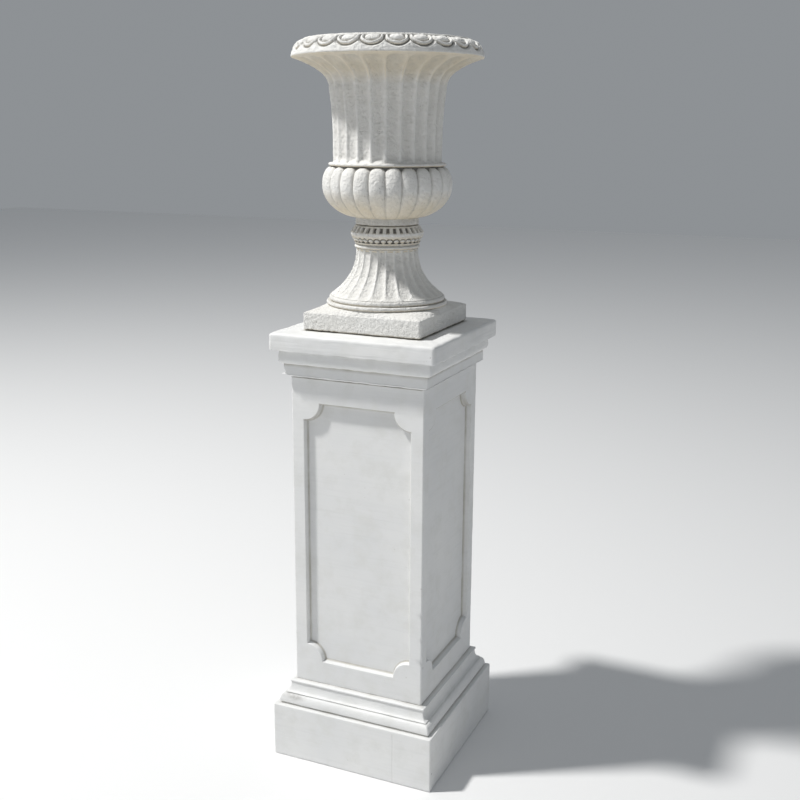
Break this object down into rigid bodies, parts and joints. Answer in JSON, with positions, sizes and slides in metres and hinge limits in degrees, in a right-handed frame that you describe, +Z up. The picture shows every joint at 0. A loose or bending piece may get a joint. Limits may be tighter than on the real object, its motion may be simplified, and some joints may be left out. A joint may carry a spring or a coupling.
{
  "type": "roman column",
  "caption": "Square panelled garden pedestal with moulded base and cap, carrying a fluted planter urn with a lobed belly, a beaded knot and an egg-and-dart rim.",
  "frame": {"origin": "centre of the plinth's underside, on the ground", "axes": "+Z up; -Y is the pedestal's front panel and +X its right-hand panel as the picture shows them"},
  "size_m": [0.406, 0.406, 1.6038],
  "materials": {
    "painted_pedestal": "smooth matt off-white masonry paint with faint brush marks, a few pits and small chips",
    "cast_stone": "rough sandy off-white cast stone, finely pitted, unpolished"
  },
  "bodies": {
    "root": {"pedestal_base": "painted_pedestal", "pedestal_shaft": "painted_pedestal", "pedestal_cap": "painted_pedestal", "garden_urn": "cast_stone"}
  },
  "joints": []
}
